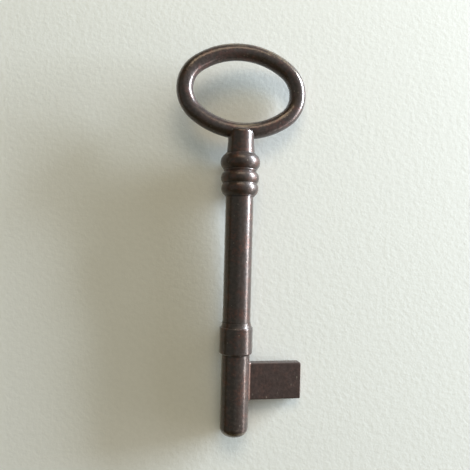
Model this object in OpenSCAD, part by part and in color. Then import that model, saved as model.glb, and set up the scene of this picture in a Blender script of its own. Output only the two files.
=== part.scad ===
// Door key with a solid pin and an uncut bit, lying flat: stem along Y, bow towards +Y,
// bit towards +X. The origin is on the stem's axis, in the plane of the shoulder's stop face.

/* [Shaft and pin] */
// Diameter of the plain shaft
shaft_d = 8; // [6:0.1:11]
// Length of bare shaft between the shoulder collar and the beads
shaft_len = 35.75; // [12:0.25:80]
// Diameter of the pin that enters the lock
pin_d = 8.1; // [6.5:0.1:12]
// Length of the pin from the stop face to its end
pin_len = 22.9; // [16:0.05:45]
// Radius of the rounding at the end of the pin
tip_round = 2.5; // [0.5:0.1:3]

/* [Neck] */
// Diameter of the neck that holds the bow
neck_d = 7.6; // [6:0.1:10]
// Length of the neck above the beads
neck_len = 6.95; // [5:0.05:14]
// Length over which the neck tapers down from the shaft
neck_taper_len = 3.6; // [0.5:0.1:4.5]
// How far the neck's end passes the axis of the bow's bar
neck_lip = 0.4; // [0:0.05:1.2]
// Radius of the rounding on the neck's end
neck_round = 1.25; // [0.2:0.05:1.3]

/* [Shoulder collar] */
// Length of the shoulder's straight band, with its chamfer and round
shoulder_len = 7.6; // [4:0.1:14]
// How far the shoulder stands out from the pin, or from the shaft where that is thicker
shoulder_lip = 0.7; // [0.5:0.05:2.5]
// Chamfer round the stop face
stop_chamfer = 0.4; // [0.1:0.05:0.4]
// Radius of the round on the shoulder's upper edge
shoulder_round = 0.35; // [0.1:0.05:0.45]
// Length of the hollow flare from the shoulder up to the shaft
flare_len = 1.25; // [0.6:0.05:3]
// Wall left at the thin end of the flare
flare_land = 0.12; // [0.08:0.02:0.3]
// Distance from the band's upper edge down to the step that the pin seats against
seat_inset = 0.8; // [0.4:0.1:2]

/* [Bead collar] */
// How far the upper bead stands out from the shaft
bead_upper_lip = 1.7; // [1.2:0.05:3]
// Radius of the upper bead's section
bead_upper_r = 2.7; // [1.7:0.05:3]
// How far the middle bead stands out from the shaft
bead_middle_lip = 1.5; // [1:0.05:3]
// Radius of the middle bead's section
bead_middle_r = 2.3; // [1.6:0.05:3]
// How far the lower bead stands out from the shaft
bead_lower_lip = 1.35; // [1:0.05:3]
// Radius of the lower bead's section
bead_lower_r = 2.5; // [1.6:0.05:3]
// Distance between the crests of the lower and middle beads
bead_pitch_low = 3; // [2.6:0.05:5]
// Distance between the crests of the middle and upper beads
bead_pitch_high = 4.5; // [4.2:0.05:7]
// Distance from the middle bead's crest to the thin ring above it
ring_offset = 2.2; // [1.9:0.05:2.6]
// How far the thin ring stands out from the shaft
ring_lip = 0.75; // [0.6:0.05:1]
// Radius of the thin ring's section
ring_r = 0.42; // [0.3:0.02:0.6]
// Depth of wall left in the groove between the lower and middle beads
groove_low_wall = 0.98; // [0.4:0.02:1]
// Depth of wall left in the grooves beside the thin ring
groove_high_wall = 0.58; // [0.3:0.02:0.6]

/* [Bow] */
// Diameter of the round bar
bar_d = 4.8; // [3:0.1:5.8]
// Radius of the tight bend at each end of the oval, to the bar's axis
bow_end_r = 8.8; // [7:0.1:14]
// Radius of the flat bend above and below, to the bar's axis
bow_side_r = 21.6; // [18:0.1:34]

/* [Bit] */
// Reach of the bit from the stem's axis
bit_reach = 18.9; // [12:0.1:32]
// Width of the bit along the stem
bit_h = 10.3; // [5:0.1:16]
// Thickness of the bit
bit_t = 3; // [1.6:0.1:4.4]
// Distance from the stop face to the bit
bit_setback = 2.5; // [1.2:0.1:6]
// Radius of the bit's outer corners
bit_corner = 0.5; // [0.1:0.05:2]
// Radius of the round along the bit's edges
bit_edge = 0.3; // [0.1:0.05:0.7]
// Depth of the bit's tenon in the pin
tenon_depth = 2.4; // [1:0.1:4]

/* [Brazed joints] */
// Gap left for the braze between parts that fit together
braze_gap = 0.03; // [0.01:0.01:0.08]
// Leg of the braze fillet round the bit's root
fillet_leg = 0.45; // [0.3:0.05:1]
// Radius of the fillet's hollow face
fillet_r = 0.75; // [0.75:0.05:2]

/* [Hidden] */

$fn = 96;
bar_fn = 48;
corner_fn = 32;
// How far a cutting shape runs past what it cuts
past = 1;
shaft_r = shaft_d / 2;
pin_r = pin_d / 2;
neck_r = neck_d / 2;
bar_r = bar_d / 2;
shoulder_r = max(pin_r, shaft_r) + shoulder_lip;

// A bead's half width where its round section meets the shaft
function half_width(section_r, lip) = sqrt(2 * section_r * lip - lip * lip);

// Stations along the stem, from the stop face upwards
seat_y = shoulder_len - seat_inset;
flare_end_y = shoulder_len + flare_len;
beads_start_y = flare_end_y + shaft_len;
bead_lower_y = beads_start_y + half_width(bead_lower_r, bead_lower_lip);
bead_middle_y = bead_lower_y + bead_pitch_low;
bead_upper_y = bead_middle_y + bead_pitch_high;
beads_end_y = bead_upper_y + half_width(bead_upper_r, bead_upper_lip);
neck_end_y = beads_end_y + neck_len;
bar_y = neck_end_y - neck_lip;

// The bow's oval is four bends, and neighbours meet on a line through both centres, 4 up to 3 across
meet = [0.6, 0.8];
end_centre = (bow_side_r - bow_end_r) * meet[0];
side_centre = (bow_side_r - bow_end_r) * meet[1];
meet_point = [end_centre, 0] + bow_end_r * meet;
// Length of each line that parts two bends, from a side bend's centre
parting_far = 2 * bow_side_r;
// Depth below the bar's surface of the core that carries each bend on into the next
core_depth = 0.3;
bow_y = bar_y + bow_side_r - side_centre;

// The bit's plate, from the bottom of its slot in the pin outwards
bit_top_y = -bit_setback;
bit_mid_y = bit_top_y - bit_h / 2;
slot_x = pin_r - tenon_depth;
plate_len = bit_reach - slot_x;
// Where the bit's faces and the fillet meet the pin
root_x = sqrt(pin_r ^ 2 - (bit_t / 2) ^ 2);
fillet_out_x = root_x + fillet_leg;

bronze = [0.29, 0.23, 0.20];
bronze_warm = [0.34, 0.26, 0.21];
bronze_dull = [0.31, 0.27, 0.24];
braze_tone = [0.46, 0.36, 0.24];

// Helpers

// Turns a profile of radius against length about the stem's axis
module turned() {
    rotate([-90, 0, 0])
        rotate_extrude()
            children();
}

// A rectangle from the axis out to a radius, between two stations
module land(radius, from_y, to_y) {
    translate([0, from_y])
        square([radius, to_y - from_y]);
}

// The same, with a round on its outer corner at the second station
module rounded_land(radius, from_y, to_y, round_r) {
    inward = sign(from_y - to_y);
    low = min(from_y, to_y);
    high = max(from_y, to_y);
    land(radius - round_r, low, high);
    land(radius, min(from_y, to_y + inward * round_r), max(from_y, to_y + inward * round_r));
    intersection() {
        translate([radius - round_r, to_y + inward * round_r])
            circle(r = round_r);
        land(radius, low, high);
    }
}

// A rectangle about the origin with four round corners
module rounded_rect(width, height, corner_r) {
    square([width - 2 * corner_r, height], center = true);
    square([width, height - 2 * corner_r], center = true);
    for (sx = [-1, 1], sy = [-1, 1])
        translate([sx * (width / 2 - corner_r), sy * (height / 2 - corner_r)])
            circle(r = corner_r, $fn = corner_fn);
}

// Round bar bent to a full circle
module bar_ring(bend_r, section_r) {
    rotate_extrude()
        translate([bend_r, 0])
            circle(r = section_r, $fn = bar_fn);
}

// The part of the bow's plane that a side bend keeps: a wedge from its centre out past both ends
module side_wedge(t) {
    linear_extrude(height = bar_d + 2 * past, center = true)
        polygon([
            [0, -t * side_centre],
            [parting_far * meet[0], t * (parting_far * meet[1] - side_centre)],
            [-parting_far * meet[0], t * (parting_far * meet[1] - side_centre)]
        ]);
}

// Flat bend above or below
module side_bend(t) {
    intersection() {
        translate([0, -t * side_centre, 0])
            bar_ring(bow_side_r, bar_r);
        side_wedge(t);
    }
}

// Tight bend at one end: its ring on that side of the middle, less what the side bends keep
module end_bend(s) {
    difference() {
        intersection() {
            translate([s * end_centre, 0, 0])
                bar_ring(bow_end_r, bar_r);
            translate([s * parting_far, 0, 0])
                cube(2 * parting_far, center = true);
        }
        side_wedge(1);
        side_wedge(-1);
    }
}

// One bead of the collar, round in section
module bead_section(lip, section_r, at_y) {
    translate([shaft_r + lip - section_r, at_y])
        circle(r = section_r);
}

// The bit's flat plate with its tenon, rounded along every edge
module bit_plate() {
    translate([slot_x + plate_len / 2, bit_mid_y, 0])
        intersection() {
            linear_extrude(height = bit_t, center = true)
                rounded_rect(plate_len, bit_h, bit_corner);
            rotate([90, 0, 90])
                linear_extrude(height = plate_len, center = true)
                    rounded_rect(bit_h, bit_t, bit_edge);
            rotate([90, 0, 0])
                linear_extrude(height = bit_h, center = true)
                    rounded_rect(plate_len, bit_t, bit_edge);
        }
}

// Outline of the braze beside a plate of a given width: it swells to the pin in a hollow curve
module braze_outline(plate_w) {
    wide = plate_w / 2 + fillet_leg;
    chord = fillet_leg * sqrt(2);
    sag = sqrt(fillet_r ^ 2 - (chord / 2) ^ 2);
    hollow_x = root_x + fillet_leg / 2 + sag / sqrt(2);
    hollow_y = plate_w / 2 + fillet_leg / 2 + sag / sqrt(2);
    difference() {
        translate([slot_x, -wide])
            square([fillet_out_x - slot_x, 2 * wide]);
        for (side = [-1, 1])
            translate([hollow_x, side * hollow_y])
                circle(r = fillet_r);
    }
}

// Sub-parts

// Oval handle ring of round bar
module bow() {
    color(bronze)
        translate([0, bow_y, 0])
            for (s = [-1, 1]) {
                side_bend(s);
                end_bend(s);
                for (t = [-1, 1])
                    translate([s * meet_point[0], t * meet_point[1], 0])
                        sphere(r = bar_r - core_depth);
            }
}

// Turned stem: pin, collar seat, shaft and the forked neck that clasps the bow
module stem() {
    color(bronze_warm)
        difference() {
            turned() {
                rounded_land(pin_r, seat_y, -pin_len, tip_round);
                land(shaft_r, 0, beads_end_y);
                polygon([
                    [0, beads_end_y],
                    [shaft_r, beads_end_y],
                    [neck_r, beads_end_y + neck_taper_len],
                    [0, beads_end_y + neck_taper_len]
                ]);
                rounded_land(neck_r, beads_end_y + neck_taper_len, neck_end_y, neck_round);
            }
            translate([0, bow_y + side_centre, 0])
                bar_ring(bow_side_r, bar_r + braze_gap);
            translate([slot_x, bit_top_y - bit_h - braze_gap, -bit_t / 2 - braze_gap])
                cube([pin_r, bit_h + 2 * braze_gap, bit_t + 2 * braze_gap]);
        }
}

// Turned sleeve of three beads with a thin ring below the upper one
module bead_collar() {
    color(bronze)
        turned()
            difference() {
                union() {
                    bead_section(bead_lower_lip, bead_lower_r, bead_lower_y);
                    bead_section(bead_middle_lip, bead_middle_r, bead_middle_y);
                    bead_section(bead_upper_lip, bead_upper_r, bead_upper_y);
                    bead_section(ring_lip, ring_r, bead_middle_y + ring_offset);
                    land(shaft_r + groove_low_wall, bead_lower_y, bead_middle_y);
                    land(shaft_r + groove_high_wall, bead_middle_y, bead_upper_y);
                }
                translate([-shaft_r, beads_start_y - shaft_r])
                    square([2 * shaft_r + braze_gap, beads_end_y - beads_start_y + 2 * shaft_r]);
            }
}

// Sleeve that stops the key against the lock, with a hollow flare up to the shaft
module shoulder_collar() {
    foot = shoulder_r - shoulder_round - shaft_r - flare_land;
    hollow_r = (foot ^ 2 + flare_len ^ 2) / (2 * foot);
    color(bronze)
        turned()
            difference() {
                union() {
                    polygon([
                        [0, 0],
                        [shoulder_r - stop_chamfer, 0],
                        [shoulder_r, stop_chamfer],
                        [0, stop_chamfer]
                    ]);
                    rounded_land(shoulder_r, stop_chamfer, shoulder_len, shoulder_round);
                    difference() {
                        land(shoulder_r - shoulder_round, stop_chamfer, flare_end_y);
                        translate([shaft_r + flare_land + hollow_r, flare_end_y])
                            circle(r = hollow_r);
                    }
                }
                land(pin_r + braze_gap, 0, seat_y);
                land(shaft_r + braze_gap, 0, flare_end_y);
            }
}

// Plate that works the lock, let into the pin by its tenon
module bit() {
    color(bronze_dull)
        bit_plate();
}

// Braze drawn out in a small hollow fillet all round the bit's root
module bit_braze() {
    color(braze_tone)
        difference() {
            translate([0, bit_mid_y, 0])
                intersection() {
                    linear_extrude(height = bit_t + 2 * fillet_leg, center = true)
                        braze_outline(bit_h);
                    rotate([90, 0, 0])
                        linear_extrude(height = bit_h + 2 * fillet_leg, center = true)
                            braze_outline(bit_t);
                }
            turned()
                land(pin_r, -pin_len, 0);
            bit_plate();
        }
}

bow();
stem();
bead_collar();
shoulder_collar();
bit();
bit_braze();
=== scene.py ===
"""Looks for a door key: smooth turned, bent and flat surfaces under a dark bronze lacquer.

Every surface is worked out in metres in the key's own frame: the stem lies along Y with the bow
towards +Y, the bit stands towards +X, and the origin is in the shoulder's stop face.
"""

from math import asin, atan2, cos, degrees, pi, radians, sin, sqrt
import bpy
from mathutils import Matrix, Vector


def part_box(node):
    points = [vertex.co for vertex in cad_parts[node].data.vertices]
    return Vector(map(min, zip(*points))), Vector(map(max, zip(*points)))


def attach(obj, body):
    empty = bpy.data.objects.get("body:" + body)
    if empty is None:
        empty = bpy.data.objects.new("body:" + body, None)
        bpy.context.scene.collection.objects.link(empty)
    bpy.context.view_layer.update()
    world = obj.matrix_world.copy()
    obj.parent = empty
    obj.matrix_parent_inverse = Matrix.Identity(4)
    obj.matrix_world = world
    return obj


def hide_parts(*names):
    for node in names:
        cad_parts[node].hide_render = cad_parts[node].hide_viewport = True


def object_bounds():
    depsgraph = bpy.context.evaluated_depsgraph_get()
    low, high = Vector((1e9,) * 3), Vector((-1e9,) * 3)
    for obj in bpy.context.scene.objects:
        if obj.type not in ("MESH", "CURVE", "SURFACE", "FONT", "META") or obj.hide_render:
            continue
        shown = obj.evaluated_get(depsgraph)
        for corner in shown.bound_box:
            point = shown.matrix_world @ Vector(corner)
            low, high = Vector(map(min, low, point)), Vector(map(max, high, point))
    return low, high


bl_info = {
    "name": "Door Key",
    "version": (1, 0, 0),
    "blender": (4, 5, 0),
    "location": "View3D > Sidebar > Door Key",
    "description": "Builds a lacquered door key and the pale sheet that it lies on",
    "category": "Add Mesh",
}

from types import SimpleNamespace

import bmesh
import bpy
import numpy as np
from bpy.props import FloatProperty, FloatVectorProperty, PointerProperty
from mathutils import Matrix, Vector

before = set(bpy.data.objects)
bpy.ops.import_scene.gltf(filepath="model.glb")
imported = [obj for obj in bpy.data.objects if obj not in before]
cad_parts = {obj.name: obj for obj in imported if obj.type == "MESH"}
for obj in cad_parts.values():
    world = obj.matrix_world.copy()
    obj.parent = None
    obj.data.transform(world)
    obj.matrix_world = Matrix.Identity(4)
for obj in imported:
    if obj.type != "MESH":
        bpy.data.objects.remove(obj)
CAD_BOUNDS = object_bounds()
MM = 0.001
SQUARE = ((-1, -1), (1, -1), (1, 1), (-1, 1))

# Normal of the oval, in its own plane, where an end bend and a side bend meet
MEET = (0.6, 0.8)

# Distance at which points count as one, the least length to divide by, and a step too small to see
MERGE = 1e-7
TINY = 1e-12
TINY_STEP = 1e-6
# Angle between two faces, in degrees, above which their edge stays sharp
SHARP_ANGLE = 38

# Distances between the points of each piece
BAR_STEP = 0.2 * MM
STEM_STEP = 0.25 * MM
COLLAR_STEP = 0.06 * MM
BIT_STEP = 0.18 * MM

# Counts of points on the oval before it is divided evenly, and round the bar, the stem and a collar
OVAL_POINTS = 2881
BAR_POINTS = 96
STEM_POINTS = 144
COLLAR_POINTS = 160
# Counts of rows up the beads, up the neck's wall, in over its end, over each end of the bit, and
# across the fillet's hollow
BEAD_ROWS = 320
NECK_ROWS = 24
END_ROWS = 25
CAP_ROWS = 7
FILLET_ROWS = 13
# Counts of points on the arcs of the pin's tip, the flare's hollow, the bit's corner, the shoulder's
# round and the bit's edge
TIP_POINTS = 17
HOLLOW_POINTS = 15
CORNER_POINTS = 15
ROUND_POINTS = 9
EDGE_POINTS = 7

# Turn in radians on either side of a cut edge at which the stem's skin has a point of its own
BESIDE_EDGE = 1e-4

# Surface left by hand finishing: two ripples, each of many waves whose lengths spread round its own
WAVES = 24
WAVE_SPREAD = (0.6, 1.5)
LONG_WAVE, LONG_DEPTH = 4 * MM, 0.03 * MM
SHORT_WAVE, SHORT_DEPTH = 1.3 * MM, 0.008 * MM

# Times that an outline is softened to find its crests and hollows, and the height or depth of a full one
SOFT_PASSES = 40
PROUD = 0.06 * MM
# Distance from a collar's bore within which its surface stays even
TRUE_WALL = 0.3 * MM

# Where the bow's olive brass lies and how widely, as shares of the bar's radius above or below its axis
RUB_HEIGHT, RUB_WIDTH = 0.8, 0.25
# Share of that brass found on both sides of the bar, and the share that favours the faces turned towards
# +Y, which is painted sheen
RUB_EVEN, SHEEN_SIDED = 0.55, 0.45
# Thin rubbed lines: their ripple, its mean and contrast, and its stretch round the bar and along X and Y
LINE_WAVE, LINE_LEVEL, LINE_CONTRAST = 3 * MM, 0.45, 1.6
LINE_ROUND = 5
LINE_ALONG = (0.3, 0.2)

# Widths of the wearing at the pin's end and along the bit's edges, and of the dark band in a crease of the
# stem, which is partly grime and partly painted shade
TIP_WEAR = 0.9 * MM
EDGE_WEAR = 0.35 * MM
CREASE = 0.35 * MM
# Rub all over the pin, a dark mark of grime and painted shade all over the fillet, and how far the fillet's
# curve fills its root
PIN_WEAR = 0.5
FILLET_DIRT_AND_SHADE = 0.5
FILLET_PULL = 0.3

# Sizes of the lacquer's redder patches, mottling, uneven gloss and orange peel
PATCH_SIZE = 3.2 * MM
MOTTLE_SIZE = 0.9 * MM
GLOSS_SIZE = 2.2 * MM
PEEL_SIZE = 0.8 * MM
# Distance between flecks and the share of places left without one, in general and on a flat face
FLECK_APART, FLECK_CHOICE = 1.0 * MM, 0.86
FLAT_FLECK_APART, FLAT_FLECK_CHOICE = 0.8 * MM, 0.72
# Where a fleck starts and ends fading, as shares of that distance, and the depth of its pit
FLECK_EDGE = (0.06, 0.26)
FLECK_DEPTH = 0.02 * MM
# Scale of the flecks' pattern on a flat face, which draws them out along the key
DRAWN_OUT = (1, 0.4, 1)
# Levels of the noise between which a mark comes up
PATCH_LEVELS = (0.45, 0.65)
MOTTLE_LEVELS = (0.3, 0.7)
RUB_AND_SHEEN_LEVELS = (0.62, 0.95)
# Strengths of the marks in the lacquer's colour and gloss
MOTTLE_DARK = 0.7
MOTTLE_RUB = 0.7
RUB_AND_SHEEN_SHARE = 0.8
FLECK_SHARE = 0.6
# Share of the dark mark in hollows and creases, which is grime and painted shade together
DIRT_AND_SHADE_SHARE = 0.6
GLOSS_CHANGE = 0.16
DIRT_ROUGH = 0.2

# Roughness of the body, then the weight and the roughness of the clear coat over it
BOW_GLOSS = (0.3, 0.7, 0.06)
TURNED_GLOSS = (0.33, 1.0, 0.07)
BEAD_GLOSS = (0.4, 0.7, 0.13)
BIT_GLOSS = (0.45, 0.4, 0.3)
# Names of each finish's own colour and of its redder patches
BOW_TONES = ("bow_lacquer", "bow_warm")
TURNED_TONES = ("lacquer", "lacquer_warm")
BIT_TONES = ("flat_face", "flat_warm")
BRAZE_TONES = ("braze", "lacquer_warm")

# The paper's grain and how far it darkens
FIBRE_SIZE, FIBRE_DEPTH = 1.3 * MM, 0.045 * MM
FIBRE_LEVELS = (0.3, 0.7)
FIBRE_SHADE = 0.975

# The camera's sensor in millimetres, and the nearest distance that it sees in metres
SENSOR = 36
NEAREST = 0.01
# Each lamp's name, which is also that of its brightness, its place and size in metres in the
# sheet's frame, and the name of its colour
LAMPS = (
    ("near_window", (0.59, 0.26, 0.074), (0.46, 0.138), "daylight"),
    ("mid_window", (0.60, -0.08, 0.070), (0.27, 0.13), "late_light"),
    ("end_window", (0.59, -0.37, 0.075), (0.31, 0.14), "late_light"),
    ("high_window", (0.58, 0.12, 0.19), (0.70, 0.14), "daylight"),
    ("far_soft", (0.05, 0.58, 0.54), (0.52, 0.28), "lamplight"),
    ("left_soft", (-0.34, 0.00, 0.72), (0.90, 1.60), "skylight"),
)


def length_mm(label, about, value):
    """A size property in metres, with its default given in millimetres."""
    return FloatProperty(name=label, description=about, default=value * MM, unit="LENGTH", precision=5)


def colour(label, about, value):
    """A linear colour property."""
    return FloatVectorProperty(
        name=label, description=about, default=value, subtype="COLOR", size=3, min=0, max=1
    )


def plain_number(label, about, value):
    """A property that is a plain number."""
    return FloatProperty(name=label, description=about, default=value)


class StemSizes(bpy.types.PropertyGroup):
    """Sizes of the turned stem, from the pin's end to the neck"""

    shaft_d: length_mm("Shaft diameter", "Plain shaft between the collars", 8)
    shaft_len: length_mm("Shaft length", "Plain shaft between the two collars", 35.75)
    pin_d: length_mm("Pin diameter", "Pin that enters the lock", 8.1)
    pin_len: length_mm("Pin length", "From the stop face to the pin's end", 22.9)
    tip_round: length_mm("Tip rounding", "Radius of the rounding at the pin's end", 2.5)
    seat_y: length_mm("Seat", "Where the pin steps down inside the shoulder collar", 6.8)
    neck_d: length_mm("Neck diameter", "Neck that holds the bow", 7.6)
    neck_len: length_mm("Neck length", "From the upper bead to the neck's end", 6.95)
    neck_taper_len: length_mm("Neck taper", "Length over which the neck tapers", 3.6)
    neck_lip: length_mm("Neck lip", "How far the neck passes the axis of the bow's bar", 0.4)
    neck_round: length_mm("Neck rounding", "Radius of the rounding on the neck's end", 1.25)


class CollarSizes(bpy.types.PropertyGroup):
    """Sizes of the two turned collars"""

    shoulder_len: length_mm("Shoulder length", "Straight band with its chamfer and round", 7.6)
    shoulder_lip: length_mm("Shoulder lip", "How far the shoulder stands out from the pin", 0.7)
    stop_chamfer: length_mm("Stop chamfer", "Chamfer round the stop face", 0.4)
    shoulder_round: length_mm("Shoulder round", "Round on the shoulder's upper edge", 0.35)
    flare_len: length_mm("Flare length", "Hollow flare up to the shaft", 1.25)
    flare_land: length_mm("Flare land", "Wall left at the flare's thin end", 0.12)
    bead_lower_lip: length_mm("Lower bead lip", "How far it stands out from the shaft", 1.35)
    bead_lower_r: length_mm("Lower bead radius", "Radius of its section", 2.5)
    bead_middle_lip: length_mm("Middle bead lip", "How far it stands out from the shaft", 1.5)
    bead_middle_r: length_mm("Middle bead radius", "Radius of its section", 2.3)
    bead_upper_lip: length_mm("Upper bead lip", "How far it stands out from the shaft", 1.7)
    bead_upper_r: length_mm("Upper bead radius", "Radius of its section", 2.7)
    bead_pitch_low: length_mm("Lower pitch", "From the lower to the middle crest", 3)
    bead_pitch_high: length_mm("Upper pitch", "From the middle to the upper crest", 4.5)
    ring_offset: length_mm("Ring offset", "From the middle crest to the thin ring", 2.2)
    ring_lip: length_mm("Ring lip", "How far the thin ring stands out", 0.75)
    ring_r: length_mm("Ring radius", "Radius of the thin ring's section", 0.42)
    groove_low_wall: length_mm("Lower groove wall", "Wall left in the lower groove", 0.98)
    groove_high_wall: length_mm("Upper groove wall", "Wall left beside the thin ring", 0.58)
    bore_gap: length_mm("Bore gap", "Gap between a collar and the stem", 0.03)


class BowSizes(bpy.types.PropertyGroup):
    """Sizes of the oval bow"""

    bar_d: length_mm("Bar diameter", "Round bar of the bow", 4.8)
    end_r: length_mm("End bend", "Radius of the tight bends, to the bar's axis", 8.8)
    side_r: length_mm("Side bend", "Radius of the flat bends, to the bar's axis", 21.6)


class BitSizes(bpy.types.PropertyGroup):
    """Sizes of the bit and the fillet at its root"""

    reach: length_mm("Reach", "From the stem's axis to the bit's end", 18.9)
    height: length_mm("Height", "Width along the stem", 10.3)
    thickness: length_mm("Thickness", "Between the two faces", 3)
    setback: length_mm("Setback", "From the stop face to the bit", 2.5)
    corner: length_mm("Corner", "Radius of the outer corners", 0.5)
    edge: length_mm("Edge", "Radius along the edges", 0.3)
    fillet_leg: length_mm("Fillet leg", "Leg of the fillet round the root", 0.45)
    fillet_sunk: length_mm("Fillet key", "How far its hidden side is sunk into the bit and pin", 0.08)


class FinishColours(bpy.types.PropertyGroup):
    """Colours of the lacquer and of the stage"""

    lacquer: colour("Lacquer", "Dark bronze of the glossy parts", (0.072, 0.055, 0.049))
    lacquer_warm: colour("Warm lacquer", "Redder patches", (0.106, 0.052, 0.041))
    # Olive brass of real rubbing on crests and edges, also used on the bow as painted sheen on faces
    # towards +Y
    rubbed_and_sheen: colour("Rubbed", "Olive brass where the lacquer is thin", (0.240, 0.190, 0.130))
    bow_lacquer: colour("Bow lacquer", "Greyer brown of the handled bow", (0.085, 0.067, 0.062))
    bow_warm: colour("Warm bow lacquer", "Redder patches of the bow", (0.116, 0.063, 0.056))
    flat_face: colour("Bit face", "Duller brown of the bit", (0.078, 0.053, 0.047))
    flat_warm: colour("Warm bit face", "Redder patches of the bit", (0.098, 0.058, 0.049))
    braze: colour("Braze", "Copper brown of the fillet at the bit's root", (0.17, 0.088, 0.066))
    fleck: colour("Fleck", "Pale flecks on the lacquer", (0.32, 0.28, 0.22))
    # Dark colour for hollows, creases and the fillet: partly grime, partly painted shade
    dirt_and_shade: colour("Dirt", "Dark dirt in the hollows", (0.022, 0.018, 0.013))
    peel: length_mm("Peel", "Depth of the orange peel", 0.04)
    paper: colour("Paper", "Pale sheet under the key", (0.92, 0.93, 0.89))


class StageSettings(bpy.types.PropertyGroup):
    """Camera, lamps and sheet"""

    sheet_side: length_mm("Sheet", "Side of the pale sheet", 3000)
    room: colour("Room", "Soft light from all round", (0.135, 0.112, 0.052))
    daylight: colour("Daylight", "Colour of the windows' light", (0.79, 0.895, 1.0))
    skylight: colour("Skylight", "Colour of the light from the left", (0.62, 0.83, 1.0))
    lamplight: colour("Lamplight", "Colour of the warm light", (1.0, 0.84, 0.62))
    late_light: colour("Late light", "Colour of the windows' light towards the bit", (1.0, 0.91, 0.88))
    near_window: plain_number("Near window", "Brightness of the window beside the bow", 86)
    mid_window: plain_number("Middle window", "Brightness of the window beside the shaft", 12)
    end_window: plain_number("End window", "Brightness of the window beside the bit", 3.6)
    high_window: plain_number("High window", "Brightness of the window's upper part", 2.4)
    far_soft: plain_number("Far lamp", "Brightness of the soft lamp past the bow", 3.95)
    left_soft: plain_number("Left lamp", "Brightness of the broad lamp over the left", 0.26)
    lens: plain_number("Lens", "Focal length in millimetres", 36.766)
    shift: plain_number("Shift", "Sideways shift of the picture, in widths", 0.0013)
    eye: FloatVectorProperty(
        name="Eye",
        description="Where the camera stands",
        default=(-0.024889, 0.030407, 0.134556),
        unit="LENGTH",
    )
    look: FloatVectorProperty(
        name="Look",
        description="Direction of view",
        default=(0.17318, 0.02296, -0.98462),
        subtype="DIRECTION",
    )
    up: FloatVectorProperty(
        name="Up",
        description="Direction that is up in the picture",
        default=(-0.02941, 0.9994, 0.01813),
        subtype="DIRECTION",
    )


class KeySettings(bpy.types.PropertyGroup):
    """All sizes and colours of the key"""

    stem: PointerProperty(type=StemSizes)
    collars: PointerProperty(type=CollarSizes)
    bow: PointerProperty(type=BowSizes)
    bit: PointerProperty(type=BitSizes)
    finish: PointerProperty(type=FinishColours)
    stage: PointerProperty(type=StageSettings)


def sizes_of(context):
    """The scene's own copy of every size and colour."""
    return context.scene.door_key


def stations(sizes):
    """Where the turned forms stand along the stem.

    Each bead is a circle's arc: its section centre lies at shaft radius plus lip minus section
    radius, and it meets the shaft at the square root of r squared less (r minus lip) squared.
    """
    stem, cuffs, bow = sizes.stem, sizes.collars, sizes.bow
    at = SimpleNamespace(
        shaft_r=stem.shaft_d / 2,
        pin_r=stem.pin_d / 2,
        neck_r=stem.neck_d / 2,
        bar_r=bow.bar_d / 2,
    )
    at.bore_r = at.shaft_r + cuffs.bore_gap
    at.band_r = at.pin_r + cuffs.shoulder_lip
    at.flare_y = cuffs.shoulder_len + cuffs.flare_len
    at.beads_y = at.flare_y + stem.shaft_len

    def run_out(radius, lip):
        """Distance along the stem from a bead's middle to where its arc meets the shaft."""
        return sqrt(radius**2 - (radius - lip) ** 2)

    lower_y = at.beads_y + run_out(cuffs.bead_lower_r, cuffs.bead_lower_lip)
    middle_y = lower_y + cuffs.bead_pitch_low
    upper_y = middle_y + cuffs.bead_pitch_high
    at.beads = [
        (lower_y, cuffs.bead_lower_r, cuffs.bead_lower_lip),
        (middle_y, cuffs.bead_middle_r, cuffs.bead_middle_lip),
        (middle_y + cuffs.ring_offset, cuffs.ring_r, cuffs.ring_lip),
        (upper_y, cuffs.bead_upper_r, cuffs.bead_upper_lip),
    ]
    at.neck_y = upper_y + run_out(cuffs.bead_upper_r, cuffs.bead_upper_lip)
    at.neck_end_y = at.neck_y + stem.neck_len
    at.bar_y = at.neck_end_y - stem.neck_lip
    at.bow_y = at.bar_y + bow.side_r - (bow.side_r - bow.end_r) * MEET[1]
    return at


def dense(outline, step):
    """Outline with each straight run divided into equal parts no longer than the step."""
    outline = np.asarray(outline, float)
    runs = np.diff(outline, axis=0)
    parts = np.maximum(np.ceil(np.linalg.norm(runs, axis=1) / step - TINY_STEP), 1).astype(int)
    share = (np.arange(parts.sum()) - np.repeat(np.cumsum(parts) - parts, parts)) / np.repeat(parts, parts)
    points = np.repeat(outline[:-1], parts, axis=0) + share[:, None] * np.repeat(runs, parts, axis=0)
    return np.concatenate([points, outline[-1:]])


def arc(centre, radius, start, stop, count):
    """Points of a circle's arc from one angle to another, in degrees."""
    turn = np.radians(np.linspace(start, stop, count))
    return np.stack([centre[0] + radius * np.cos(turn), centre[1] + radius * np.sin(turn)], axis=1)


def bell(distance, width):
    """Bell curve: the exponential of minus the square of distance over width."""
    return np.exp(-((distance / width) ** 2))


def softened(outline, passes):
    """Closed outline with its corners rounded.

    In each pass a point becomes half of itself and a quarter of each of its two neighbours.
    """
    for _ in range(passes):
        outline = (np.roll(outline, 1, 0) + 2 * outline + np.roll(outline, -1, 0)) / 4
    return outline


def standing_out(outline):
    """How far each point of a closed outline stands out from its softened form, along its normal."""
    along = np.roll(outline, -1, 0) - np.roll(outline, 1, 0)
    normal = np.stack([along[:, 1], -along[:, 0]], axis=1)
    normal /= np.maximum(np.linalg.norm(normal, axis=1, keepdims=True), TINY)
    return ((outline - softened(outline, SOFT_PASSES)) * normal).sum(axis=1)


def ripple(points, wavelength, seed):
    """Waviness from -1 to 1: the sum of plane sine waves with seeded directions, over its largest value."""
    chance = np.random.default_rng(seed)
    ways = chance.normal(size=(WAVES, 3))
    ways /= np.linalg.norm(ways, axis=1, keepdims=True)
    ways *= 2 * pi / wavelength * chance.uniform(*WAVE_SPREAD, (WAVES, 1))
    waves = np.sin(points @ ways.T + chance.uniform(0, 2 * pi, WAVES)).sum(axis=-1)
    return waves / np.abs(waves).max()


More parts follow.
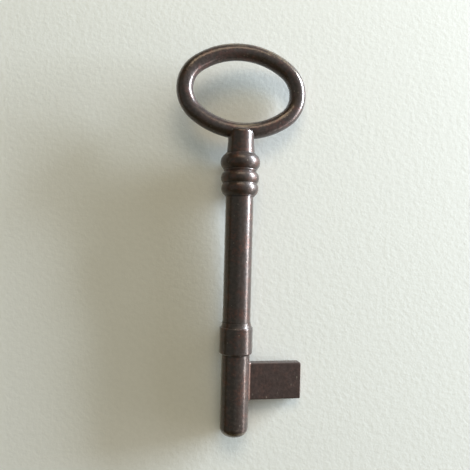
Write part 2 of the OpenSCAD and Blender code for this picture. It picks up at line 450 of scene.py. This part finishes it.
def uneven(points, seed):
    """Depth of the hand-finished surface under its true form: a long and a short ripple, never above it."""
    long_wave = (1 + ripple(points, LONG_WAVE, seed)) / 2 * LONG_DEPTH
    short_wave = (1 + ripple(points, SHORT_WAVE, seed + 1)) / 2 * SHORT_DEPTH
    return long_wave + short_wave


def sink(grid, towards, depth):
    """Grid moved along a direction given at each point, by a depth given at each point."""
    return grid + towards * depth[..., None]


def revolved(outline, turns):
    """Outline of (radius, height) turned about the stem: x = r cos a, y = height, z = r sin a."""
    radius, height = outline[:, :1], outline[:, 1:]
    return np.stack([radius * np.cos(turns), height + 0 * turns, radius * np.sin(turns)], axis=-1)


def outward(grid, closed):
    """Unit normals of a grid: the cross product of its two central differences."""
    along, around = (
        np.roll(grid, -1, axis) - np.roll(grid, 1, axis) if shut else np.gradient(grid, axis=axis)
        for axis, shut in enumerate(closed)
    )
    normal = np.cross(along, around)
    return normal / np.maximum(np.linalg.norm(normal, axis=-1, keepdims=True), TINY)


def make_piece(name, grid, closed, marks, material, node):
    """Closed mesh from a grid of points: one quad between neighbours, doubled points at its poles merged.

    It stands for a node of the frame and carries one number per point for each of its marks.
    """
    rows, columns = grid.shape[:2]
    row = np.arange(rows if closed[0] else rows - 1)[:, None]
    column = np.arange(columns if closed[1] else columns - 1)[None, :]
    next_row, next_column = (row + 1) % rows, (column + 1) % columns
    corners = (row * columns + column, next_row * columns + column)
    corners += (next_row * columns + next_column, row * columns + next_column)
    quads = np.stack(np.broadcast_arrays(*corners), axis=-1).reshape(-1, 4)
    mesh = bpy.data.meshes.new(name)
    mesh.from_pydata(grid.reshape(-1, 3), [], quads)
    for label, values in marks.items():
        layer = mesh.attributes.new(label, "FLOAT", "POINT")
        layer.data.foreach_set("value", np.broadcast_to(values, (rows, columns)).astype(np.float32).ravel())
    work = bmesh.new()
    work.from_mesh(mesh)
    bmesh.ops.remove_doubles(work, verts=work.verts, dist=MERGE)
    bmesh.ops.recalc_face_normals(work, faces=work.faces)
    leaks = sum(not edge.is_manifold for edge in work.edges)
    work.to_mesh(mesh)
    work.free()
    if leaks:
        raise RuntimeError(f"{name} isn't closed: {leaks} open edges")
    mesh.shade_smooth()
    mesh.set_sharp_from_angle(angle=radians(SHARP_ANGLE))
    mesh.materials.append(material)
    made = bpy.data.objects.new(name, mesh)
    bpy.context.scene.collection.objects.link(made)
    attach(made, "root")
    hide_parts(node)
    return made


class KEY_OT_bow(bpy.types.Operator):
    """Bend the oval bow from round bar"""

    bl_idname = "door_key.bow"
    bl_label = "Bow"

    def execute(self, context):
        """Round bar carried round four bends.

        The point of the axis whose normal stands at angle t lies at its bend's centre plus its radius
        times (cos t, sin t). The end bends serve while the normal's x is larger than MEET, and the
        side bends elsewhere. The bar's skin is axis + bar radius (cos a normal + sin a Z). Olive brass lies
        in thin lines along the bar, most on the outer side above the opening and the inner side below:
        partly real rubbing, partly painted sheen on the faces turned towards +Y.
        """
        sizes = sizes_of(context)
        at, bow = stations(sizes), sizes.bow
        even_turn = np.linspace(0, 2 * pi, OVAL_POINTS)
        across, up = np.cos(even_turn), np.sin(even_turn)
        at_end = np.abs(across) >= MEET[0]
        radius = np.where(at_end, bow.end_r, bow.side_r)
        apart = bow.side_r - bow.end_r
        centre_x = np.where(at_end, np.sign(across) * apart * MEET[0], 0)
        centre_y = at.bow_y - np.where(at_end, 0, np.sign(up) * apart * MEET[1])
        line = np.stack([centre_x + radius * across, centre_y + radius * up], axis=1)
        run = np.concatenate([[0], np.cumsum(np.linalg.norm(np.diff(line, axis=0), axis=1))])
        turn = np.interp(np.arange(0, run[-1] - BAR_STEP / 2, BAR_STEP), run, even_turn)[:, None]
        run_x, run_y = (np.interp(turn, even_turn, axis) for axis in line.T)
        roll = np.linspace(0, 2 * pi, BAR_POINTS, endpoint=False)[None, :]
        normal = np.stack(
            [np.cos(turn) * np.cos(roll), np.sin(turn) * np.cos(roll), np.sin(roll) + 0 * turn], axis=-1
        )
        axis = np.stack([run_x + 0 * roll, run_y + 0 * roll, 0 * turn + 0 * roll], axis=-1)
        skin = axis + at.bar_r * normal
        # Brass on the bar's crests above and below its axis; its one-sided share, on faces towards +Y, is
        # painted sheen
        bow_rub_and_sheen = bell(np.abs(np.sin(roll)) - RUB_HEIGHT, RUB_WIDTH)
        bow_rub_and_sheen = bow_rub_and_sheen * (RUB_EVEN + SHEEN_SIDED * np.sin(turn) * np.sign(np.cos(roll)))
        round_r = LINE_ROUND * at.bar_r
        along = LINE_ALONG[0] * run_x + LINE_ALONG[1] * run_y + 0 * roll
        unrolled = [round_r * np.cos(roll) + 0 * turn, round_r * np.sin(roll) + 0 * turn, along]
        lines = ripple(np.stack(unrolled, axis=-1), LINE_WAVE, 12)
        lines = np.clip(LINE_LEVEL + LINE_CONTRAST * lines, 0, 1)
        lacquer = lacquered_bronze(
            "bow_lacquer", sizes.finish, seed=11, rub_and_sheen_share=0.72, tones=BOW_TONES, gloss=BOW_GLOSS
        )
        make_piece(
            "bow_bar",
            sink(skin, -normal, uneven(skin, 11)),
            (True, True),
            {"wear": bow_rub_and_sheen * lines, "hollow": np.zeros(1)},
            lacquer,
            "bow",
        )
        return {"FINISHED"}


class KEY_OT_stem(bpy.types.Operator):
    """Turn the stem, from the pin's rounded end to the neck that holds the bow"""

    bl_idname = "door_key.stem"
    bl_label = "Stem"

    def execute(self, context):
        """Revolved outline with a slot sunk in the pin and a saddle in the neck's end.

        The slot is where the skin's x falls to the slot's floor. The neck's end has the height of a
        rounded end or of the saddle's floor, whichever is lower, over each chord of constant z, and
        each chord closes on the middle plane.
        """
        sizes = sizes_of(context)
        at, stem, bit = stations(sizes), sizes.stem, sizes.bit
        gap = sizes.collars.bore_gap
        slot_y = (-bit.setback - bit.height - gap, -bit.setback + gap)
        slot_z = bit.thickness / 2 + gap
        tip_y = -stem.pin_len
        step = TINY_STEP
        round_r = stem.tip_round
        outline = np.concatenate(
            [
                [(0, tip_y)],
                arc((at.pin_r - round_r, tip_y + round_r), round_r, -90, 0, TIP_POINTS),
                [(at.pin_r, slot_y[0]), (at.pin_r, slot_y[0] + step)],
                [(at.pin_r, slot_y[1] - step), (at.pin_r, slot_y[1])],
                [(at.pin_r, stem.seat_y), (at.shaft_r, stem.seat_y), (at.shaft_r, at.neck_y)],
                [(at.neck_r, at.neck_y + stem.neck_taper_len)],
            ]
        )
        outline = dense(outline, STEM_STEP)
        saddle_r = at.bar_r + gap
        edges = [asin(saddle_r / at.neck_r), asin(slot_z / at.pin_r)]
        beside = (-BESIDE_EDGE, BESIDE_EDGE)
        special = [sign * edge + shift for sign in (-1, 1) for edge in edges for shift in beside]
        special += [pi - turn for turn in special]
        even = np.linspace(0, 2 * pi, STEM_POINTS, endpoint=False)
        turns = np.union1d(even, np.mod(special, 2 * pi))[None, :]
        body = revolved(outline, turns)

        def end_height(x, z):
            """Height of the neck's end: its rounded rim, or the saddle where that is lower.

            The rim falls by its radius times (1 - sqrt(1 - out squared)). The saddle's floor lies
            sqrt((bend + half) squared - x squared) below the bend's centre, where half is
            sqrt(saddle radius squared - z squared).
            """
            out = np.clip((np.hypot(x, z) - at.neck_r + stem.neck_round) / stem.neck_round, 0, 1)
            cap = at.neck_end_y - stem.neck_round * (1 - np.sqrt(1 - out**2))
            half = np.sqrt(np.maximum(saddle_r**2 - z**2, 0))
            bend_y = at.bar_y + sizes.bow.side_r
            saddle = bend_y - np.sqrt((sizes.bow.side_r + half) ** 2 - x**2)
            return np.where(np.abs(z) < saddle_r, np.minimum(cap, saddle), cap)

        x, z = at.neck_r * np.cos(turns), at.neck_r * np.sin(turns)
        base_y = at.neck_y + stem.neck_taper_len
        share = np.linspace(0, 1, NECK_ROWS)[1:, None]
        rise = share * (end_height(x, z) - base_y)
        wall = np.stack([x + 0 * share, base_y + rise, z + 0 * share], axis=-1)
        inward = 1 - np.linspace(0, 1, END_ROWS)[1:, None] ** 2
        face = np.stack([x * inward, end_height(x * inward, z), z + 0 * inward], axis=-1)
        skin = np.concatenate([body, wall, face])
        y = skin[..., 1]
        amount = [np.minimum(outline[:, 0] / at.shaft_r, 1), 1 - share[:, 0], 0 * inward[:, 0]]
        inwards = -np.stack([np.cos(turns), 0 * turns, np.sin(turns)], axis=-1)
        skin = sink(skin, inwards, np.concatenate(amount)[:, None] * uneven(skin, 21))
        in_slot = (np.abs(skin[..., 2]) < slot_z) & (skin[..., 0] > 0) & (y > slot_y[0]) & (y < slot_y[1])
        skin[..., 0] = np.where(in_slot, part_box("bit")[0].x - gap, skin[..., 0])
        # Dark band along the creases where the collars and the neck meet the stem: partly grime, partly
        # painted shade
        creases = (0, at.flare_y, at.beads_y, at.neck_y)
        from_crease = np.min([np.abs(y - crease) for crease in creases], axis=0)
        tip_wear = bell(y - tip_y - round_r / 2, TIP_WEAR)
        marks = {
            "wear": np.maximum(tip_wear, np.where(y < 0, PIN_WEAR, 0)),
            "hollow": bell(from_crease, CREASE),
        }
        make_piece(
            "turned_stem",
            skin,
            (False, True),
            marks,
            lacquered_bronze("stem_lacquer", sizes.finish, seed=23, rub_and_sheen_share=0.46),
            "stem",
        )
        return {"FINISHED"}


def turned_collar(name, outline, seed, passes, material, node):
    """Closed outline, softened and revolved, sunk by the uneven finish on its outer side."""
    outline = softened(dense(np.concatenate([outline, outline[:1]]), COLLAR_STEP)[:-1], passes)
    proud = standing_out(outline) / PROUD
    turns = np.linspace(0, 2 * pi, COLLAR_POINTS, endpoint=False)[None, :]
    skin = revolved(outline, turns)
    outer = (outline[:, 0] > outline[:, 0].min() + TRUE_WALL)[:, None]
    skin = sink(skin, -outward(skin, (True, True)), outer * uneven(skin, seed))
    # Hollows of the outline get the dark mark, partly grime and partly painted shade
    marks = {"wear": np.clip(proud, 0, 1)[:, None], "hollow": np.clip(-proud, 0, 1)[:, None]}
    make_piece(name, skin, (True, True), marks, material, node)


class KEY_OT_beads(bpy.types.Operator):
    """Turn the collar of three beads and a thin ring"""

    bl_idname = "door_key.beads"
    bl_label = "Bead collar"

    def execute(self, context):
        """At each height the radius is the largest of the groove's floor and the beads' arcs."""
        sizes = sizes_of(context)
        at, cuffs = stations(sizes), sizes.collars
        y = np.linspace(at.beads_y, at.neck_y, BEAD_ROWS)
        lower_y, middle_y, upper_y = (at.beads[k][0] for k in (0, 1, 3))
        floor = np.select(
            [y < lower_y, y < middle_y, y < upper_y],
            [at.bore_r, at.shaft_r + cuffs.groove_low_wall, at.shaft_r + cuffs.groove_high_wall],
            at.bore_r,
        )
        arcs = [
            at.shaft_r + lip - radius + np.sqrt(np.maximum(radius**2 - (y - height) ** 2, 0))
            for height, radius, lip in at.beads
        ]
        outer = np.stack([np.max([floor, *arcs], axis=0), y], axis=1)
        outline = np.concatenate([outer, [(at.bore_r, at.neck_y), (at.bore_r, at.beads_y)]])
        turned_collar(
            "beaded_collar",
            outline,
            seed=31,
            passes=3,
            material=lacquered_bronze("bead_lacquer", sizes.finish, seed=31, rub_and_sheen_share=0.3, gloss=BEAD_GLOSS),
            node="bead_collar",
        )
        return {"FINISHED"}


class KEY_OT_stop(bpy.types.Operator):
    """Turn the collar that stops the key at the lock"""

    bl_idname = "door_key.stop"
    bl_label = "Stop collar"

    def execute(self, context):
        """Band with a chamfer below and a round above, then a hollow flare whose arc ends along the stem.

        The flare's arc is level with its thin end, so its radius is (rise squared + fall squared) over
        twice the fall.
        """
        sizes = sizes_of(context)
        at, stem, cuffs = stations(sizes), sizes.stem, sizes.collars
        seat_r = at.pin_r + cuffs.bore_gap
        round_r = cuffs.shoulder_round
        top_r = at.band_r - round_r
        land_r = at.shaft_r + cuffs.flare_land
        fall = top_r - land_r
        hollow_r = (cuffs.flare_len**2 + fall**2) / (2 * fall)
        start = degrees(asin(cuffs.flare_len / hollow_r))
        outline = np.concatenate(
            [
                [(seat_r, 0), (at.band_r - cuffs.stop_chamfer, 0), (at.band_r, cuffs.stop_chamfer)],
                arc((top_r, cuffs.shoulder_len - round_r), round_r, 0, 90, ROUND_POINTS),
                arc((land_r + hollow_r, at.flare_y), hollow_r, 180 + start, 180, HOLLOW_POINTS),
                [(at.bore_r, at.flare_y), (at.bore_r, stem.seat_y), (seat_r, stem.seat_y)],
            ]
        )
        turned_collar(
            "stop_collar",
            outline,
            seed=41,
            passes=2,
            material=lacquered_bronze("stop_lacquer", sizes.finish, seed=41, rub_and_sheen_share=0.25),
            node="shoulder_collar",
        )
        return {"FINISHED"}


def bit_section(bit):
    """Round-cornered oblong across the bit as points, with the unit normal at each."""
    flat = (bit.height / 2 - bit.edge, bit.thickness / 2 - bit.edge)
    corners = [
        arc((sy * flat[0], sz * flat[1]), bit.edge, start, start - 90, EDGE_POINTS)
        for sy, sz, start in ((-1, 1, 180), (1, 1, 90), (1, -1, 0), (-1, -1, -90))
    ]
    ring = dense(np.concatenate([*corners, corners[0][:1]]), BIT_STEP)[:-1]
    normal = ring - np.clip(ring, [-flat[0], -flat[1]], flat)
    return ring, normal / np.linalg.norm(normal, axis=1, keepdims=True)


class KEY_OT_bit(bpy.types.Operator):
    """Shape the plain bit, and the hollow fillet at its root"""

    bl_idname = "door_key.bit"
    bl_label = "Bit and fillet"

    def execute(self, context):
        sizes = sizes_of(context)
        self.plate(sizes)
        self.fillet(sizes)
        return {"FINISHED"}

    def plate(self, sizes):
        """Section carried out along X.

        Near the outer end the section is drawn in by r - sqrt(r squared - past squared), with the
        edge's radius across the thickness and the corner's radius along the height. Each end closes
        on the section's middle line.
        """
        bit = sizes.bit
        ring, normal = bit_section(bit)
        start_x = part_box("bit")[0].x
        middle_y = -bit.setback - bit.height / 2
        full = bit.thickness / 2
        corner_x = bit.reach - bit.corner
        rounding = bit.corner * np.sin(np.linspace(0, pi / 2, CORNER_POINTS))
        x = np.concatenate([np.arange(start_x, corner_x, BIT_STEP), corner_x + rounding])
        past_edge = np.clip(x - bit.reach + bit.edge, 0, bit.edge)
        past_corner = np.clip(x - bit.reach + bit.corner, 0, bit.corner)
        drawn = bit.edge - np.sqrt(np.maximum(bit.edge**2 - past_edge**2, 0))
        narrowed = bit.corner - np.sqrt(np.maximum(bit.corner**2 - past_corner**2, 0))
        closing = np.linspace(0, 1, CAP_ROWS + 1)[1:]
        x = np.concatenate([np.full(CAP_ROWS, start_x), x, np.full(CAP_ROWS, bit.reach)])[:, None]
        closed_end = bit.edge + (full - bit.edge) * closing
        drawn = np.concatenate([full * closing[::-1], drawn, closed_end])[:, None]
        closed_narrowed = np.full(CAP_ROWS, narrowed[-1])
        narrowed = np.concatenate([np.zeros(CAP_ROWS), narrowed, closed_narrowed])[:, None]
        first = np.minimum(drawn, bit.edge)
        half = (bit.height / 2 - drawn, full - drawn)
        y, z = (np.clip(ring[:, k] - first * normal[:, k], -half[k], half[k]) for k in (0, 1))
        y = y * (1 - np.maximum(narrowed - first, 0) / (bit.height / 2))
        skin = np.stack([x + 0 * y, middle_y + y, z], axis=-1)
        inside = np.stack([0 * y, -normal[:, 0] + 0 * y, -normal[:, 1] + 0 * y], axis=-1)
        outside = (drawn < full - MERGE) & (x < bit.reach - MERGE)
        skin = sink(skin, inside, outside * uneven(skin, 51))
        from_edge = np.minimum(bit.height / 2 - np.abs(y), bit.reach - x)
        lacquer = lacquered_bronze(
            "bit_lacquer", sizes.finish, seed=51, rub_and_sheen_share=0.2, tones=BIT_TONES, gloss=BIT_GLOSS, flat=True
        )
        make_piece(
            "bit_plate",
            skin,
            (False, True),
            {"wear": bell(from_edge, EDGE_WEAR), "hollow": np.zeros(1)},
            lacquer,
            "bit",
        )

    def fillet(self, sizes):
        """Hollow strip carried round the bit's section where it leaves the pin.

        The root is the section's point on the pin, at x = sqrt(R squared - z squared). One leg runs out
        along the bit, the other along the pin on the section's normal, and the hollow between them is
        a quadratic curve drawn towards the root. The hidden side is sunk into both.
        """
        bit = sizes.bit
        pin_r = sizes.stem.pin_d / 2
        ring, normal = bit_section(bit)
        middle_y = -bit.setback - bit.height / 2

        def on_pin(out, radius):
            """Section moved out along its normal and laid on a cylinder round the stem.

            There x = sqrt(radius squared - z squared).
            """
            y, z = (ring + normal * out).T
            return np.stack([np.sqrt(radius**2 - z**2), middle_y + y, z], axis=-1)

        leg, sunk = bit.fillet_leg, bit.fillet_sunk
        root, far = on_pin(0, pin_r), on_pin(leg, pin_r)
        near = root + [leg, 0, 0]
        pull = root + FILLET_PULL * ((near + far) / 2 - root)
        share = np.linspace(0, 1, FILLET_ROWS)[:, None, None]
        hollow = (1 - share) ** 2 * near + 2 * share * (1 - share) * pull + share**2 * far
        hidden = [
            on_pin(leg, pin_r - sunk),
            on_pin(-sunk, pin_r - sunk),
            on_pin(-sunk, pin_r) + [leg, 0, 0],
        ]
        make_piece(
            "bit_root_fillet",
            np.concatenate([hollow, hidden]),
            (True, True),
            # The whole fillet sits in the root's corner and is darkened: partly grime, partly painted shade
            {"wear": np.zeros(1), "hollow": np.full(1, FILLET_DIRT_AND_SHADE)},
            lacquered_bronze("fillet_lacquer", sizes.finish, seed=61, rub_and_sheen_share=0.3, tones=BRAZE_TONES),
            "bit_braze",
        )


def put(tree, kind, settings=None, **inputs):
    """Shader node with its settings, and each input linked to a socket or given a value.

    An input is given by its name, with _ for a space, or as _0, _1 and so on by its number.
    """
    made = tree.nodes.new(kind)
    for label, value in (settings or {}).items():
        setattr(made, label, value)
    for label, value in inputs.items():
        which = int(label[1:]) if label[1:].isdigit() else label.replace("_", " ")
        socket = made.inputs[which]
        if isinstance(value, bpy.types.NodeSocket):
            tree.links.new(value, socket)
        else:
            socket.default_value = value
    return made


def ramp(tree, value, low, high):
    """Value carried from 0 to 1 between two levels, eased at both ends."""
    made = put(tree, "ShaderNodeMapRange", {"interpolation_type": "SMOOTHSTEP"}, Value=value)
    made.inputs["From Min"].default_value = low
    made.inputs["From Max"].default_value = high
    return made.outputs["Result"]


def blended(tree, share, first, second):
    """Colour mix of two colours."""
    made = put(tree, "ShaderNodeMix", {"data_type": "RGBA"})
    for socket, value in ((made.inputs[0], share), (made.inputs[6], first), (made.inputs[7], second)):
        if isinstance(value, bpy.types.NodeSocket):
            tree.links.new(value, socket)
        else:
            socket.default_value = value if isinstance(value, (int, float)) else (*value, 1)
    return made.outputs[2]


def combined(tree, operation, first, second):
    """Sum, product or other plain operation on two values."""
    return put(tree, "ShaderNodeMath", {"operation": operation}, _0=first, _1=second).outputs[0]


def grain(tree, place, size, detail=2.0, roughness=0.5):
    """Noise of a given size in metres."""
    made = put(
        tree, "ShaderNodeTexNoise", Vector=place, Scale=1 / size, Detail=detail, Roughness=roughness
    )
    return made.outputs["Fac"]


def mark(tree, label):
    """The number that a piece carries at each point under a given name."""
    return put(tree, "ShaderNodeAttribute", {"attribute_name": label}).outputs["Fac"]


def flecks_at(tree, place, flat):
    """Specks near the centres of some cells, drawn out along the key on a flat face."""
    apart, least = (FLAT_FLECK_APART, FLAT_FLECK_CHOICE) if flat else (FLECK_APART, FLECK_CHOICE)
    stretched = put(tree, "ShaderNodeMapping", Vector=place, Scale=DRAWN_OUT if flat else (1, 1, 1))
    cells = put(tree, "ShaderNodeTexVoronoi", Vector=stretched.outputs["Vector"], Scale=1 / apart)
    chance = put(tree, "ShaderNodeSeparateColor", Color=cells.outputs["Color"]).outputs[0]
    chosen = ramp(tree, chance, least, 1.0)
    near = combined(tree, "SUBTRACT", 1.0, ramp(tree, cells.outputs["Distance"], *FLECK_EDGE))
    return combined(tree, "MULTIPLY", near, chosen)


def lacquered_bronze(name, colours, seed, rub_and_sheen_share, tones=TURNED_TONES, gloss=TURNED_GLOSS, flat=False):
    """Dark red-brown lacquer over brass.

    It is uneven like orange peel, with redder patches, a few pale flecks and pits, olive brass where the
    lacquer is thinned on crests and, on the bow, painted sheen on faces towards +Y, and a dark mark in
    the hollows that is partly grime and partly painted shade. Gloss gives the body's roughness, then the
    clear coat's weight and roughness. A flat face has more flecks, drawn out along the key.
    """
    made = bpy.data.materials.new(name)
    made.use_nodes = True
    tree = made.node_tree
    shader = tree.nodes["Principled BSDF"]
    spot = put(tree, "ShaderNodeTexCoord").outputs["Object"]
    offset = (seed * MM, -2 * seed * MM, 3 * seed * MM)
    place = put(tree, "ShaderNodeMapping", Vector=spot, Location=offset).outputs["Vector"]
    wear, hollow = mark(tree, "wear"), mark(tree, "hollow")
    patches = ramp(tree, grain(tree, place, PATCH_SIZE, 3.0, 0.6), *PATCH_LEVELS)
    mottle = grain(tree, place, MOTTLE_SIZE, 4.0, 0.6)
    flecks = flecks_at(tree, place, flat)
    # The mark gives the olive brass: real rubbing, and on the bow also painted sheen
    worn_and_sheen = combined(tree, "MULTIPLY", wear, rub_and_sheen_share)
    thin = combined(tree, "ADD", worn_and_sheen, combined(tree, "MULTIPLY", mottle, MOTTLE_RUB))
    rubbed_and_sheen = ramp(tree, thin, *RUB_AND_SHEEN_LEVELS)

    base, warm = (getattr(colours, tone) for tone in tones)
    tone = blended(tree, patches, base, warm)
    tone = blended(tree, ramp(tree, mottle, *MOTTLE_LEVELS), [MOTTLE_DARK * c for c in base], tone)
    tone = blended(tree, combined(tree, "MULTIPLY", rubbed_and_sheen, RUB_AND_SHEEN_SHARE), tone, colours.rubbed_and_sheen)
    tone = blended(tree, combined(tree, "MULTIPLY", flecks, FLECK_SHARE), tone, colours.fleck)
    # Dark mark in hollows and creases: partly grime, partly painted shade
    tone = blended(tree, combined(tree, "MULTIPLY", hollow, DIRT_AND_SHADE_SHARE), tone, colours.dirt_and_shade)
    tree.links.new(tone, shader.inputs["Base Color"])

    rough = combined(tree, "MULTIPLY_ADD", grain(tree, place, GLOSS_SIZE), GLOSS_CHANGE)
    rough.node.inputs[2].default_value = gloss[0] - GLOSS_CHANGE / 2
    rough = combined(tree, "ADD", rough, combined(tree, "MULTIPLY", hollow, DIRT_ROUGH))
    tree.links.new(rough, shader.inputs["Roughness"])

    waves = grain(tree, place, PEEL_SIZE, 1.0, 0.6)
    peel = put(tree, "ShaderNodeBump", Height=waves, Strength=1.0, Distance=colours.peel)
    pitted = put(
        tree,
        "ShaderNodeBump",
        {"invert": True},
        Height=flecks,
        Strength=1.0,
        Distance=FLECK_DEPTH,
        Normal=peel.outputs["Normal"],
    )
    for label in ("Normal", "Coat Normal"):
        tree.links.new(pitted.outputs["Normal"], shader.inputs[label])
    shader.inputs["Metallic"].default_value = 0.5
    shader.inputs["Specular IOR Level"].default_value = 0.3
    shader.inputs["Coat Weight"].default_value = gloss[1]
    shader.inputs["Coat Roughness"].default_value = gloss[2]
    shader.inputs["Coat IOR"].default_value = 1.3
    return made


def paper(colours):
    """Pale matt paper with a faint grain."""
    made = bpy.data.materials.new("paper")
    made.use_nodes = True
    tree = made.node_tree
    shader = tree.nodes["Principled BSDF"]
    spot = put(tree, "ShaderNodeTexCoord").outputs["Object"]
    fibre = grain(tree, spot, FIBRE_SIZE, 3.0, 0.6)
    shaded = [FIBRE_SHADE * c for c in colours.paper]
    tone = blended(tree, ramp(tree, fibre, *FIBRE_LEVELS), shaded, colours.paper)
    tree.links.new(tone, shader.inputs["Base Color"])
    relief = put(tree, "ShaderNodeBump", Height=fibre, Strength=1.0, Distance=FIBRE_DEPTH)
    tree.links.new(relief.outputs["Normal"], shader.inputs["Normal"])
    shader.inputs["Roughness"].default_value = 0.9
    shader.inputs["Specular IOR Level"].default_value = 0.0
    return made


def rest_plane(settings):
    """Plane that the key lies on: it touches the upper bead, the pin's end and the bit's low corner.

    The pitch is that of the line under the bead and the pin. The roll is the angle at which the
    bit's corner comes down to the same plane.
    """
    stem, collars, bit = settings.stem, settings.collars, settings.bit
    bead_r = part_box("bead_collar")[1].z
    bead_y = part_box("bead_collar")[1].y - sqrt(
        2 * collars.bead_upper_r * collars.bead_upper_lip - collars.bead_upper_lip**2
    )
    pin_r = stem.pin_d / 2
    pin_y = stem.tip_round - stem.pin_len
    pitch = atan2(bead_r - pin_r, bead_y - pin_y)
    offset = sin(pitch) * bead_y - cos(pitch) * bead_r
    across, down = bit.reach, bit.thickness / 2
    low_y = -bit.setback - bit.height
    reach = (offset - sin(pitch) * low_y) / cos(pitch)
    roll = asin(-reach / sqrt(across**2 + down**2)) - atan2(down, across)
    normal = Vector((-sin(roll) * cos(pitch), sin(pitch), cos(roll) * cos(pitch)))
    return normal, offset


class KEY_OT_stage(bpy.types.Operator):
    """Lay the pale sheet, and set the lamps, the world and the camera"""

    bl_idname = "door_key.stage"
    bl_label = "Stage"

    def execute(self, context):
        scene = context.scene
        scene.view_settings.view_transform = "Standard"
        settings = sizes_of(context)
        lie = self.sheet(settings)
        self.lamps(settings.stage, lie)
        self.camera(scene, settings.stage)
        return {"FINISHED"}

    def sheet(self, settings):
        """Square sheet in the plane that the key lies on.

        Returns the matrix that carries the sheet's frame into the key's. In the sheet's frame X is to
        the right of the key, Y along it and Z up, from a point under the key's middle.
        """
        normal, offset = rest_plane(settings)
        across = Vector((0, 1, 0)).cross(normal).normalized()
        along = normal.cross(across)
        middle = Vector((0, (CAD_BOUNDS[0][1] + CAD_BOUNDS[1][1]) / 2, 0))
        foot = middle + normal * (offset - normal.dot(middle))
        lie = Matrix.Translation(foot) @ Matrix((across, along, normal)).transposed().to_4x4()
        half = settings.stage.sheet_side / 2
        mesh = bpy.data.meshes.new("paper_sheet")
        mesh.from_pydata([lie @ Vector((x * half, y * half, 0)) for x, y in SQUARE], [], [(0, 1, 2, 3)])
        mesh.materials.append(paper(settings.finish))
        made = bpy.data.objects.new("paper_sheet", mesh)
        bpy.context.scene.collection.objects.link(made)
        return lie

    def lamps(self, stage, lie):
        """Soft light all round, and six soft lamps placed in the sheet's frame."""
        world = bpy.data.worlds.new("room")
        world.use_nodes = True
        world.node_tree.nodes["Background"].inputs["Color"].default_value = (*stage.room, 1)
        bpy.context.scene.world = world
        for name, place, size, tint in LAMPS:
            data = bpy.data.lights.new(name, "AREA")
            data.shape = "RECTANGLE"
            data.size, data.size_y = size
            data.energy = getattr(stage, name) * pi * size[0] * size[1]
            data.color = getattr(stage, tint)
            made = bpy.data.objects.new(name, data)
            turn = (-Vector(place)).to_track_quat("-Z", "Y").to_matrix().to_4x4()
            made.matrix_world = lie @ Matrix.Translation(place) @ turn
            bpy.context.scene.collection.objects.link(made)

    def camera(self, scene, stage):
        """Camera over the key's left, with its picture's up and right axes at right angles to its view."""
        data = bpy.data.cameras.new("camera")
        data.lens = stage.lens
        data.sensor_width = SENSOR
        data.shift_x = stage.shift
        data.clip_start = NEAREST
        made = bpy.data.objects.new("camera", data)
        look, up = Vector(stage.look), Vector(stage.up)
        right = look.cross(up).normalized()
        axes = Matrix((right, right.cross(look).normalized(), -look)).transposed().to_4x4()
        made.matrix_world = Matrix.Translation(stage.eye) @ axes
        scene.collection.objects.link(made)
        scene.camera = made


class KEY_PT_pieces(bpy.types.Panel):
    """The key's pieces, its stage and their sizes"""

    bl_idname = "KEY_PT_pieces"
    bl_label = "Door Key"
    bl_space_type = "VIEW_3D"
    bl_region_type = "UI"
    bl_category = "Door Key"

    def draw(self, context):
        layout, settings = self.layout, sizes_of(context)
        for made in (KEY_OT_bow, KEY_OT_stem, KEY_OT_beads, KEY_OT_stop, KEY_OT_bit, KEY_OT_stage):
            layout.operator(made.bl_idname)
        for name in ("bow", "stem", "collars", "bit", "finish", "stage"):
            group = getattr(settings, name)
            box = layout.box()
            for label in group.bl_rna.properties.keys():
                if label not in ("rna_type", "name"):
                    box.prop(group, label)


CLASSES = (
    StemSizes,
    CollarSizes,
    BowSizes,
    BitSizes,
    FinishColours,
    StageSettings,
    KeySettings,
    KEY_OT_bow,
    KEY_OT_stem,
    KEY_OT_beads,
    KEY_OT_stop,
    KEY_OT_bit,
    KEY_OT_stage,
    KEY_PT_pieces,
)


def register():
    """Adds the classes and the scene's settings."""
    for each in CLASSES:
        bpy.utils.register_class(each)
    bpy.types.Scene.door_key = PointerProperty(type=KeySettings)


def unregister():
    """Takes them out again."""
    del bpy.types.Scene.door_key
    for each in reversed(CLASSES):
        bpy.utils.unregister_class(each)


def main():
    """Builds the key and its stage."""
    register()
    bpy.ops.door_key.bow()
    bpy.ops.door_key.stem()
    bpy.ops.door_key.beads()
    bpy.ops.door_key.stop()
    bpy.ops.door_key.bit()
    bpy.ops.door_key.stage()


if __name__ == "__main__":
    main()
